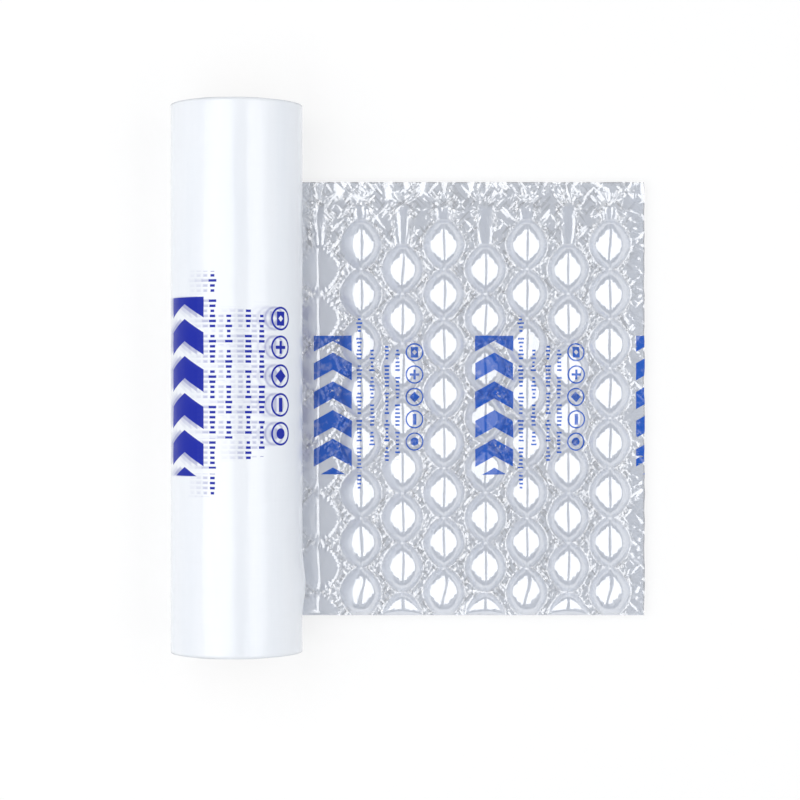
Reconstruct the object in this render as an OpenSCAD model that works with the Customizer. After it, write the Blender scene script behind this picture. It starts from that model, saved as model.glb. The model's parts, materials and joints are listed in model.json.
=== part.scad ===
// Air pillow film roll, in millimetres, +Z up.
// A wound roll of two-ply film on a paper core lies on its side, and a length of the same
// film, blown up into rows of air cells, runs off flat beside it.
// The origin is the middle of the core's bore. Y runs along the core, and X the way the film
// is drawn off the roll.

/* [Core tube] */
// Bore of the paper core, which slips over a spindle
core_bore = 50; // [40:0.5:56]
// Wall of the paper core
core_wall = 4; // [2:0.5:6]
// How far the core stands out past the film at each end
core_proud = 1; // [0.5:0.5:4]
// Gap between the core and the first turn of film
core_gap = 0.05; // [0.02:0.01:0.2]

/* [Wound roll] */
// Width of the flat film, which is also the length of the wound roll
film_w = 400; // [380:1:440]
// Diameter of the wound roll
roll_d = 96.4; // [90:0.2:120]
// Depth of the flat spot that the soft roll rests on
rest_flat = 0.3; // [0.2:0.05:0.6]
// Step between the turns that show on the ends of the roll
turn_step = 2.4; // [1.8:0.1:4]
// How far those turns stand out of the ends
turn_relief = 0.6; // [0.3:0.1:1.2]
// Smooth rim left outside the last of those turns
turn_rim = 1.2; // [0.6:0.1:2.4]

/* [Drawn-off film] */
// Thickness of the two plies where they lie flat together
film_t = 0.4; // [0.3:0.05:0.8]
// Distance from the roll's axis to the torn end of the film
draw_len = 303.5; // [240:0.5:380]
// Width of the film once its cells are full of air
web_w = 325; // [280:1:350]
// How far the blown-up film sits off the middle of the roll, towards its folded edge
web_shift = 14.5; // [0:0.5:20]
// Where the film starts to rise off the table
rise_from = 12; // [10:1:16]
// Where the film has reached the middle height of its cells
rise_to = 40; // [34:1:42]

/* [Air cells] */
// Diameter of a full air cell
cell_d = 33; // [28:0.5:34]
// Thickness of a full air cell, both plies together
cell_h = 18; // [12:0.5:22]
// Share of that thickness in the slack row beside the roll
slack_share = 0.5; // [0.3:0.05:0.9]
// Distance from the roll's axis to the first row of cells
first_row = 59.1; // [58.5:0.1:64]
// Distance between one row of cells and the next
row_step = 31.1; // [30:0.1:36]
// Distance between the cells of one row
cell_step = 37.25; // [35:0.05:42]
// Diameter of the cell that the fold pinches at the foot of every second row
pinched_d = 20; // [12:0.5:24]
// Thickness of that pinched cell
pinched_h = 7; // [3:0.5:9]
// Film left flat between the last cells and the folded edge
fold_gap = 0.8; // [0.4:0.1:3]
// Flat film kept between the last row of cells and the torn end
end_gap = 8; // [4:0.5:12]

/* [Air ways and seals] */
// Width of the air way that joins the cells of a row
way_w = 11; // [8:0.5:14]
// Height of that air way
way_h = 5; // [3:0.5:7]
// Distance from the open edge to the heat seal that shuts the air in
seal_inset = 17.6; // [14:0.2:24]
// Width of the heat seal
seal_w = 2.4; // [1.5:0.1:4]
// How far the heat seal stands out of each face
seal_relief = 0.2; // [0.1:0.05:0.4]
// Shortest air way between the seal and a row's first cell
way_min = 8; // [6:0.5:12]

/* [Gathers] */
// Height of the ruffle along the open edge
ruffle_h = 3; // [1:0.5:5]
// Length of one wave of the ruffle
ruffle_step = 7.2; // [6:0.2:12]
// Height of the pleats that fan out below the seal
pleat_h = 0.9; // [0.5:0.1:1.4]
// Width of one pleat
pleat_w = 1.8; // [1.2:0.1:3]
// Length of the pleats, from the mouth of the air way
pleat_l = 19; // [12:0.5:24]
// Angle between the air way and the first pleat beside it
pleat_from = 40; // [30:1:45]
// Angle between one pleat and the next
pleat_step = 12; // [8:1:18]
// Pleats on each side of an air way
pleats = 3; // [1:1:3]

/* [Hidden] */
smooth = 96;

core_r = core_bore / 2 + core_wall;
roll_r = roll_d / 2;
table_z = rest_flat - roll_r;
web_z = table_z + cell_h / 2;
fold_y = -web_w / 2 - web_shift;
open_y = web_w / 2 - web_shift;
seal_y = open_y - seal_inset;

// How far a cut runs past what it cuts, and the ruffle and the seal lap over the flat film
past = 1;
lap = 1;
// The ruffle is thinner than the flat film, so that their faces stay apart where it laps
ruffle_t = 0.75 * film_t;

cell_r = cell_d / 2;
// Where an air way starts inside its cell, and where it ends short of the seal
way_root = 0.8 * cell_r;
way_end_y = seal_y - way_w / 2;
even_y = fold_y + fold_gap + cell_r;
odd_y = even_y + cell_step / 2;
top_cell_y = seal_y - way_min - cell_r;
rows = floor((draw_len - end_gap - cell_r - first_row) / row_step) + 1;

// Rows count from the roll. Even ones start half a step up, so that the cells nest.
function row_x(i) = first_row + i * row_step;
function row_y(i) = i % 2 == 0 ? odd_y : even_y;
function row_cells(i) = floor((top_cell_y - row_y(i)) / cell_step) + 1;
function cell_y(i, j) = row_y(i) + j * cell_step;
function row_fill(i) = i == 0 ? slack_share : 1;

// Goes smoothly from 0 to 1 as t does.
function ease(t) = t <= 0 ? 0 : t >= 1 ? 1 : (1 - cos(180 * t)) / 2;
function rise(x) = ease((x - rise_from) / (rise_to - rise_from));

// A lens with a sharp rim: half_h high at its middle, on each side of its plane.
module lens(rim_r, half_h) {
    ball_r = (rim_r * rim_r + half_h * half_h) / (2 * half_h);
    intersection() {
        translate([0, 0, half_h - ball_r]) sphere(r = ball_r, $fn = smooth);
        translate([0, 0, ball_r - half_h]) sphere(r = ball_r, $fn = smooth);
    }
}

// An air way along Y, from y0 to y1, with a lens for its section.
module air_way(y0, y1, w, h) {
    arc_r = (w * w / 4 + h * h / 4) / h;
    translate([0, y1, 0]) rotate([90, 0, 0]) linear_extrude(y1 - y0)
        intersection() {
            translate([0, h / 2 - arc_r]) circle(r = arc_r, $fn = smooth);
            translate([0, arc_r - h / 2]) circle(r = arc_r, $fn = smooth);
        }
}

// One row of cells with the air way that fills them from the sealed edge.
module cell_row(i) {
    n = row_cells(i);
    half_h = row_fill(i) * cell_h / 2;
    way = row_fill(i) * way_h;
    last_y = cell_y(i, n - 1);
    for (j = [0:n - 1])
        translate([0, cell_y(i, j), 0]) lens(cell_r, half_h);
    for (j = [0:1:n - 2])
        air_way(cell_y(i, j) + way_root, cell_y(i, j + 1) - way_root, way_w, way);
    air_way(last_y + way_root, way_end_y, way_w, way);
    translate([0, way_end_y, 0]) lens(way_w / 2, way / 2);
}

// The small cell that the fold pinches at the foot of an even row.
module pinched_cell(i) {
    r = pinched_d / 2;
    translate([0, fold_y + fold_gap + r, 0]) lens(r, row_fill(i) * pinched_h / 2);
}

// Seen from above: the film leaves the roll at full width and draws in as its cells fill.
module web_outline() {
    steps = 14;
    root = film_w / 2 - 2 * turn_relief;
    xs = [for (k = [0:steps]) rise_to * k / steps];
    open_edge = [for (x = xs) [x, root + (open_y - root) * ease(x / rise_to)]];
    fold_edge = [for (x = xs) [x, -root + (fold_y + root) * ease(x / rise_to)]];
    polygon(concat(
        [for (k = [0:steps]) fold_edge[k]],
        [[draw_len, fold_y], [draw_len, seal_y]],
        [[rise_to, seal_y]],
        [for (k = [steps:-1:0]) open_edge[k]]
    ));
}

// Seen from the fold: the film lies on the table, then rises to the middle of its cells.
module web_section() {
    steps = 12;
    bend = [for (k = [0:steps]) rise_from + (rise_to - rise_from) * k / steps];
    xs = concat([0], bend, [draw_len]);
    low = [for (x = xs) [x, table_z + rise(x) * (web_z - film_t / 2 - table_z)]];
    high = [for (k = [len(low) - 1:-1:0]) low[k] + [0, film_t]];
    polygon(concat(low, high));
}

module flat_web() {
    intersection() {
        translate([0, film_w / 2, 0]) rotate([90, 0, 0]) linear_extrude(film_w)
            web_section();
        translate([0, 0, -roll_r]) linear_extrude(roll_r) web_outline();
    }
}

// The open edge has more length than the blown-up film beside it, so it stands in waves,
// which are deepest at every second air way.
module ruffle() {
    per_wave = 6;
    across = 3;
    swell = 0.3;
    from_x = rise_to - lap;
    run = draw_len - from_x;
    count = round(run / ruffle_step) * per_wave;
    from_y = seal_y - lap;
    points = [for (side = [-1, 1], k = [0:count], m = [0:across])
        let (x = from_x + run * k / count, v = m / across)
        [
            x,
            from_y + (open_y - from_y) * v,
            web_z + side * ruffle_t / 2 + ruffle_h / 2 * v * sin(360 * k / per_wave)
                * (1 - swell + swell * cos(180 * (x - first_row) / row_step))
        ]];
    layer = (count + 1) * (across + 1);
    function at(side, k, m) = side * layer + k * (across + 1) + m;
    quads = concat(
        [for (k = [0:count - 1], m = [0:across - 1])
            [at(0, k, m), at(0, k, m + 1), at(0, k + 1, m + 1), at(0, k + 1, m)]],
        [for (k = [0:count - 1], m = [0:across - 1])
            [at(1, k, m), at(1, k + 1, m), at(1, k + 1, m + 1), at(1, k, m + 1)]],
        [for (k = [0:count - 1]) [at(0, k, 0), at(0, k + 1, 0), at(1, k + 1, 0), at(1, k, 0)]],
        [for (k = [0:count - 1])
            [at(0, k, across), at(1, k, across), at(1, k + 1, across), at(0, k + 1, across)]],
        [for (m = [0:across - 1]) [at(0, 0, m), at(1, 0, m), at(1, 0, m + 1), at(0, 0, m + 1)]],
        [for (m = [0:across - 1])
            [at(0, count, m), at(0, count, m + 1), at(1, count, m + 1), at(1, count, m)]]
    );
    polyhedron(points, quads);
}

// The heat seal is a thin band along the open edge, thicker than the film by its relief.
module heat_seal() {
    translate([rise_to - lap, seal_y - seal_w / 2, web_z - film_t / 2 - seal_relief])
        cube([draw_len - rise_to + lap, seal_w, film_t + 2 * seal_relief]);
}

// Pleats fan out from the mouth of a row's air way, between the seal and the next rows.
module pleat_fan(i) {
    for (side = [-1, 1], k = [0:pleats - 1])
        translate([row_x(i), seal_y - seal_w / 2, web_z])
            rotate([0, 0, side * (pleat_from + k * pleat_step)])
                translate([0, -way_w / 2, 0]) rotate([90, 0, 0])
                    linear_extrude(pleat_l - way_w / 2)
                        polygon([[-pleat_w / 2, 0], [0, pleat_h], [pleat_w / 2, 0], [0, -pleat_h]]);
}

// The turns show on the ends of the roll as a spiral, drawn with half circles from two centres.
module turn_spiral() {
    ridge = 0.6 * turn_step;
    first = core_r + turn_step / 2;
    turns = floor((roll_r - turn_rim - ridge - first) / turn_step);
    module half_ring(r, up) {
        intersection() {
            difference() {
                circle(r = r + ridge, $fn = smooth);
                circle(r = r, $fn = smooth);
            }
            translate([-roll_r, up ? 0 : -roll_r]) square([2 * roll_r, roll_r]);
        }
    }
    for (k = [0:turns - 1]) {
        half_ring(first + k * turn_step, true);
        translate([turn_step / 2, 0]) half_ring(first + (k + 0.5) * turn_step, false);
    }
}

module wound_roll() {
    body_l = film_w - 2 * turn_relief;
    difference() {
        union() {
            rotate([90, 0, 0]) cylinder(h = body_l, r = roll_r, center = true, $fn = smooth);
            for (end = [-1, 1])
                translate([0, end * (film_w / 2 - turn_relief), 0]) rotate([90, 0, 0])
                    linear_extrude(2 * turn_relief, center = true) turn_spiral();
        }
        rotate([90, 0, 0])
            cylinder(h = film_w + 2 * past, r = core_r + core_gap, center = true, $fn = smooth);
        translate([-roll_r, -film_w / 2 - past, table_z - roll_r])
            cube([2 * roll_r, film_w + 2 * past, roll_r]);
    }
}

module core_tube() {
    core_l = film_w + 2 * core_proud;
    color("tan") rotate([90, 0, 0]) difference() {
        cylinder(h = core_l, r = core_r, center = true, $fn = smooth);
        cylinder(h = core_l + 2 * past, r = core_bore / 2, center = true, $fn = smooth);
    }
}

// The film is one web from the core to the torn end, so the roll and the cells are one piece.
module bubble_film() {
    color("aliceblue") {
        wound_roll();
        flat_web();
        ruffle();
        heat_seal();
        for (i = [0:rows - 1]) {
            translate([row_x(i), 0, web_z]) cell_row(i);
            if (i % 2 == 0) translate([row_x(i), 0, web_z]) pinched_cell(i);
            pleat_fan(i);
        }
    }
}

core_tube();
bubble_film();
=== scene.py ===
"""Dresses the air pillow film roll: its wound turns, its two plies blown up into air cells, and its core.

Sizes are in millimetres, as on a maker's drawing, and become metres only where a mesh is written.
X runs the way the film is drawn off, Y along the core, and Z up from the table.
"""

from __future__ import annotations

import json
import logging
import math
from dataclasses import dataclass, field
from enum import Enum
from functools import reduce

import bpy
import numpy as np
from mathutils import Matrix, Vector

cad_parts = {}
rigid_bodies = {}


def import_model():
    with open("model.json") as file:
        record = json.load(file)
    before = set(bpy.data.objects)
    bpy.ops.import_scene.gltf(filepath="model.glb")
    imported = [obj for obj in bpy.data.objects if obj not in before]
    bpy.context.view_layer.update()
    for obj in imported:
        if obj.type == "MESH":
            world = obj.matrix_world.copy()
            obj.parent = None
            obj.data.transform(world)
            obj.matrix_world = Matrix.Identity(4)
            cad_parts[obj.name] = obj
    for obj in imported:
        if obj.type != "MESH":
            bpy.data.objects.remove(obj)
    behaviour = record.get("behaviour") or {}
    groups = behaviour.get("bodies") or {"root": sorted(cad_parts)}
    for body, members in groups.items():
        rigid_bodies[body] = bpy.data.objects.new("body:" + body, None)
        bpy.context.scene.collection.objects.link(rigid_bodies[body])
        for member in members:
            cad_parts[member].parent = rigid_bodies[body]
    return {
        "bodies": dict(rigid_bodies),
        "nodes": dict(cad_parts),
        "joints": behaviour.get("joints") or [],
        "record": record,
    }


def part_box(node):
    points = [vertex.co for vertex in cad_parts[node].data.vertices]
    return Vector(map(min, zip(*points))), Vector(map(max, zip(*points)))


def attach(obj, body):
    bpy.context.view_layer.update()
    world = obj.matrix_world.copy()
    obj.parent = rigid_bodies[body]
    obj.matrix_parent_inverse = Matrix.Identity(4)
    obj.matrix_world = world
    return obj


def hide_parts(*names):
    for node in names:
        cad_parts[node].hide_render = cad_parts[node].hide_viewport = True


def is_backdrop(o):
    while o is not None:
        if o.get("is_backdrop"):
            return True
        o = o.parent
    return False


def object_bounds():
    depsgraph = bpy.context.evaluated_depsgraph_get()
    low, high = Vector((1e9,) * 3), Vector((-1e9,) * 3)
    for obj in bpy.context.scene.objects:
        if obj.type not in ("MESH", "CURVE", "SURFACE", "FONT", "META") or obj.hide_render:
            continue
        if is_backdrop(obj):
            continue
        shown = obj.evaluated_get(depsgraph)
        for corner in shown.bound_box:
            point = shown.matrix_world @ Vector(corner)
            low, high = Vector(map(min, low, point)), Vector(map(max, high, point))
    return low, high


Grid = np.ndarray
Dice = np.random.Generator
Colour = tuple[float, float, float, float]
MM = 0.001
FILM_UV = "film"
CRIMP = "crimp"
# Name of the mark on the strips along the torn end and the open edge that get a painted shade.
PAINTED_EDGE_SHADE = "edge"
LOG = logging.getLogger("film_roll")


class Ply(Enum):
    """The two plies of the drawn-off film. The value is the side of the middle plane that it bulges to."""

    UPPER = 1
    LOWER = -1


def ease(t: Grid) -> Grid:
    """Goes smoothly from 0 to 1 as t does, along half a cosine wave.

    Args:
        t: Places along the step. Below 0 gives 0, and above 1 gives 1.

    Returns:
        An array of the same shape.
    """
    return (1 - np.cos(np.pi * np.clip(t, 0, 1))) / 2


@dataclass(frozen=True)
class Crumple:
    """A crumpled height field: the sum of plane sine waves in seeded directions.

    Their lengths in millimetres are spread evenly from short to long. The sum is divided by the root of their
    number, and multiplied by the height.
    """

    seed: int
    short: float
    long: float
    count: int = 36
    height: float = 1.0

    def at(self, x: Grid, y: Grid) -> Grid:
        """Heights at places along X and Y, of the shape that they make together."""
        rng = np.random.default_rng(self.seed)
        total = np.zeros(np.broadcast(x, y).shape)
        for length in np.linspace(self.short, self.long, self.count):
            heading, phase = rng.uniform(0, 2 * np.pi, 2)
            wave = 2 * np.pi / length
            total += np.sin(wave * (x * np.cos(heading) + y * np.sin(heading)) + phase)
        return total / math.sqrt(self.count) * self.height


def add_object(name: str, data: bpy.types.ID) -> bpy.types.Object:
    """Adds an object to the scene, at the origin."""
    made = bpy.data.objects.new(name, data)
    bpy.context.scene.collection.objects.link(made)
    return made


def surface_piece(
    name: str,
    points: Grid,
    film: Grid,
    wrapped: bool = False,
    turned: bool = False,
    marks: dict[str, Grid] | None = None,
) -> bpy.types.Object:
    """Makes a smooth mesh of quads over a grid of points.

    Quad (i, j) joins the points (i, j), (i+1, j), (i+1, j+1) and (i, j+1). On a wrapped grid the last row
    joins the first along both sides, so the surface closes like a ring.

    Args:
        name: Name of the piece.
        points: Grid of places, shaped (rows, columns, 3), in millimetres.
        film: Places on the flat film, in millimetres. A wrapped grid has one more row and column of them.
        wrapped: Whether both sides of the grid close on themselves.
        turned: Whether the faces point the other way.
        marks: Values by name, shaped (rows, columns), kept on the points for the finish to read.

    Returns:
        The new object, at the origin, with its place in its mesh.
    """
    rows, columns = points.shape[:2]
    more = 1 if wrapped else 0
    i, j = np.meshgrid(np.arange(rows - 1 + more), np.arange(columns - 1 + more), indexing="ij")
    corners = [(i, j), (i + 1, j), (i + 1, j + 1), (i, j + 1)]
    if turned:
        corners.reverse()
    loops = np.stack([(a % rows) * columns + b % columns for a, b in corners], axis=-1).reshape(-1)
    uvs = np.stack([film[a, b] for a, b in corners], axis=-2).reshape(-1, 2) * MM
    mesh = bpy.data.meshes.new(name)
    mesh.vertices.add(rows * columns)
    mesh.vertices.foreach_set("co", (points * MM).astype(np.float32).ravel())
    mesh.loops.add(loops.size)
    mesh.loops.foreach_set("vertex_index", loops.astype(np.int32))
    mesh.polygons.add(loops.size // 4)
    mesh.polygons.foreach_set("loop_start", np.arange(0, loops.size, 4, dtype=np.int32))
    mesh.polygons.foreach_set("use_smooth", np.ones(loops.size // 4, dtype=bool))
    mesh.update(calc_edges=True)
    layer = mesh.uv_layers.new(name=FILM_UV)
    layer.data.foreach_set("uv", uvs.astype(np.float32).ravel())
    for mark, values in (marks or {}).items():
        attribute = mesh.attributes.new(mark, "FLOAT", "POINT")
        attribute.data.foreach_set("value", values.astype(np.float32).ravel())
    mesh.validate()
    return add_object(name, mesh)


class Wire:
    """A value inside a shader, so that formulas can be written with + - * /."""

    def __init__(self, board: Board, socket: bpy.types.NodeSocket) -> None:
        """Holds the socket that gives the value."""
        self.board = board
        self.socket = socket

    def __add__(self, other: Wire | float) -> Wire:
        """This value plus another."""
        return self.board.math("ADD", self, other)

    def __sub__(self, other: Wire | float) -> Wire:
        """This value less another."""
        return self.board.math("SUBTRACT", self, other)

    def __rsub__(self, other: float) -> Wire:
        """A number less this value."""
        return self.board.math("SUBTRACT", other, self)

    def __mul__(self, other: Wire | float) -> Wire:
        """This value times another."""
        return self.board.math("MULTIPLY", self, other)

    def __truediv__(self, other: Wire | float) -> Wire:
        """This value over another."""
        return self.board.math("DIVIDE", self, other)


class Board:
    """Lays out nodes in one node tree."""

    def __init__(self, tree: bpy.types.NodeTree) -> None:
        """Holds the tree."""
        self.tree = tree

    @classmethod
    def blank(cls, owner: bpy.types.Material | bpy.types.World) -> Board:
        """Empties the node tree of a material or of the sky."""
        owner.use_nodes = True
        owner.node_tree.nodes.clear()
        return cls(owner.node_tree)

    def node(self, kind: str, inputs: dict | None = None, **settings: object) -> bpy.types.Node:
        """Adds a node.

        Args:
            kind: The node's type, such as ShaderNodeMath.
            inputs: Wires or plain values, by the name or number of the input.
            settings: Properties of the node by name.

        Returns:
            The new node.
        """
        made = self.tree.nodes.new(kind)
        for name, value in settings.items():
            setattr(made, name, value)
        for name, value in (inputs or {}).items():
            self.feed(made.inputs[name], value)
        return made

    def value(self, kind: str, inputs: dict | None = None, output: str | int = 0, **settings: object) -> Wire:
        """Adds a node in the same way, and gives one of its outputs."""
        return Wire(self, self.node(kind, inputs, **settings).outputs[output])

    def feed(self, socket: bpy.types.NodeSocket, value: Wire | float | tuple) -> None:
        """Links a wire to a socket, or sets the socket to a plain value."""
        if isinstance(value, Wire):
            self.tree.links.new(value.socket, socket)
        else:
            socket.default_value = value

    def math(self, operation: str, *values: Wire | float) -> Wire:
        """Adds a Math node with its inputs in order."""
        return self.value("ShaderNodeMath", dict(enumerate(values)), operation=operation)

    def least(self, *values: Wire | float) -> Wire:
        """The least of several values."""
        return reduce(lambda one, other: self.math("MINIMUM", one, other), values)

    def most(self, *values: Wire | float) -> Wire:
        """The greatest of several values."""
        return reduce(lambda one, other: self.math("MAXIMUM", one, other), values)

    def within(self, value: Wire, low: float, high: float) -> Wire:
        """How far a value lies inside a stretch. It is negative outside."""
        return self.least(value - low, high - value)

    def ramp(
        self, value: Wire, low: Wire | float, high: Wire | float, start: float = 0, end: float = 1
    ) -> Wire:
        """Goes smoothly from start to end as the value goes from low to high."""
        inputs = dict(enumerate((value, low, high, start, end)))
        return self.value("ShaderNodeMapRange", inputs, interpolation_type="SMOOTHSTEP")

    def blend(self, share: Wire | float, first: Wire | Colour, second: Wire | Colour) -> Wire:
        """Mixes two colours. A share of 1 gives the second."""
        return self.value("ShaderNodeMix", {"Factor": share, 6: first, 7: second}, 2, data_type="RGBA")

    def noise(self, place: Wire, grain: Grain) -> Wire:
        """Fractal noise of a kind, about 0 to 1."""
        place = self.stretched(place, grain.stretch) if grain.stretch else place
        inputs = {"Vector": place, "Scale": grain.scale, "Detail": grain.detail, "Roughness": grain.roughness}
        return self.value("ShaderNodeTexNoise", inputs, "Fac")

    def stretched(self, place: Wire, scale: tuple[float, float, float]) -> Wire:
        """A place with each axis scaled."""
        return self.value("ShaderNodeMapping", {"Vector": place, "Scale": scale})

    def turned(self, place: Wire, turn: float) -> Wire:
        """A place turned about the Z axis by an angle in radians."""
        return self.value("ShaderNodeMapping", {"Vector": place, "Rotation": (0.0, 0.0, turn)})

    def axes(self, place: Wire) -> list[Wire]:
        """The three numbers of a place."""
        return [Wire(self, socket) for socket in self.node("ShaderNodeSeparateXYZ", {0: place}).outputs]

    def mark(self, name: str) -> Wire:
        """A value that the mesh keeps on its points."""
        return self.value("ShaderNodeAttribute", output="Fac", attribute_name=name)

    def facets(self, place: Wire, facet: Facet) -> tuple[Wire, Wire]:
        """Scattered flat facets, as in crushed film, that lean to one or the other of their long sides.

        Each facet is a stretched Voronoi cell. Its height is the place across it, measured from its middle,
        times the cell's own random lean. Some of the cells that lie flat are marked for a darker tint, a
        painted dark reflection.

        Args:
            place: Where it is read, in metres.
            facet: The kind of facet.

        Returns:
            The height in millimetres, for a slope of up to a half, and a mask that is 1 in the flat cells
            tinted darker as a painted dark reflection.
        """
        spread = self.stretched(self.turned(place, facet.turn), (1.0, facet.wide / facet.long, 1.0))
        inputs = {"Vector": spread, "Scale": 1 / (facet.wide * MM)}
        cells = self.node("ShaderNodeTexVoronoi", inputs, voronoi_dimensions="2D")
        inputs = {0: spread, 1: Wire(self, cells.outputs["Position"])}
        across = self.axes(self.value("ShaderNodeVectorMath", inputs, operation="SUBTRACT"))[0]
        dice = self.node("ShaderNodeSeparateColor", {0: Wire(self, cells.outputs["Color"])})
        lean, pick = Wire(self, dice.outputs[0]) - 0.5, Wire(self, dice.outputs[2])
        raised = self.ramp(pick, 1 - facet.share, 1 + facet.edge - facet.share)
        # The second value marks the flat cells that the finish paints darker, as a painted dark reflection.
        return across * lean * raised / MM, self.ramp(pick, facet.painted_dark_facets, facet.painted_dark_facets + facet.edge, 1.0, 0.0)

    def bump(self, height: Wire, depth: float = 1.0) -> Wire:
        """Turns the normal by a height, of which 1 stands for so many millimetres."""
        return self.value("ShaderNodeBump", {"Strength": 1.0, "Distance": depth * MM, "Height": height})

    def shade(self, inputs: dict) -> None:
        """Ends a material's nodes in one Principled shader, with its inputs by name."""
        shader = self.value("ShaderNodeBsdfPrincipled", inputs)
        self.node("ShaderNodeOutputMaterial", {"Surface": shader})


@dataclass(frozen=True)
class Grain:
    """A kind of noise: bumps per metre, octaves, strength of the finer ones, and how each axis is scaled."""

    scale: float
    detail: float = 2.0
    roughness: float = 0.5
    stretch: tuple[float, float, float] | None = None


@dataclass(frozen=True)
class Facet:
    """A kind of facet in crushed film: its width and length in millimetres, and the angle it is turned by.

    share is the share of the cells that lean, the next field that of the flat cells tinted darker as a
    painted dark reflection, and edge the softness of both.
    """

    wide: float
    long: float
    turn: float
    share: float
    painted_dark_facets: float = 0.11
    edge: float = 0.01


@dataclass(frozen=True)
class FilmSizes:
    """Sizes of the film in millimetres. The first five come from the frame."""

    roll_r: float
    film_w: float
    table_z: float
    draw_len: float
    core_r: float
    web_w: float = 325.0
    web_shift: float = 14.5
    rise_from: float = 12.0
    rise_to: float = 40.0
    cell_h: float = 18.0
    cell_d: float = 33.0
    first_row: float = 59.1
    row_step: float = 31.1
    cell_step: float = 37.25
    fold_gap: float = 0.8
    seal_inset: float = 17.6
    seal_w: float = 2.4
    way_min: float = 8.0
    end_gap: float = 8.0
    ply_t: float = 0.1
    drawn_in: float = 0.795
    turn_step: float = 1.2
    turn_relief: float = 0.5

    @classmethod
    def from_frame(cls) -> FilmSizes:
        """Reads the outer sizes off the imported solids."""
        low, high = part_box("bubble_film")
        return cls(
            roll_r=high.z / MM,
            film_w=(high.y - low.y) / MM,
            table_z=low.z / MM,
            draw_len=high.x / MM,
            core_r=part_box("core_tube")[1].z / MM,
        )

    @property
    def fold_y(self) -> float:
        """Place of the folded edge of the blown-up film."""
        return -self.web_w / 2 - self.web_shift

    @property
    def open_y(self) -> float:
        """Place of its open edge."""
        return self.web_w / 2 - self.web_shift

    @property
    def seal_y(self) -> float:
        """Place of the heat seal."""
        return self.open_y - self.seal_inset

    def rise(self, x: Grid) -> Grid:
        """Height of the film's middle plane over the table: a smooth step from 0 to half a cell."""
        return ease((x - self.rise_from) / (self.rise_to - self.rise_from)) * self.cell_h / 2


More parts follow.
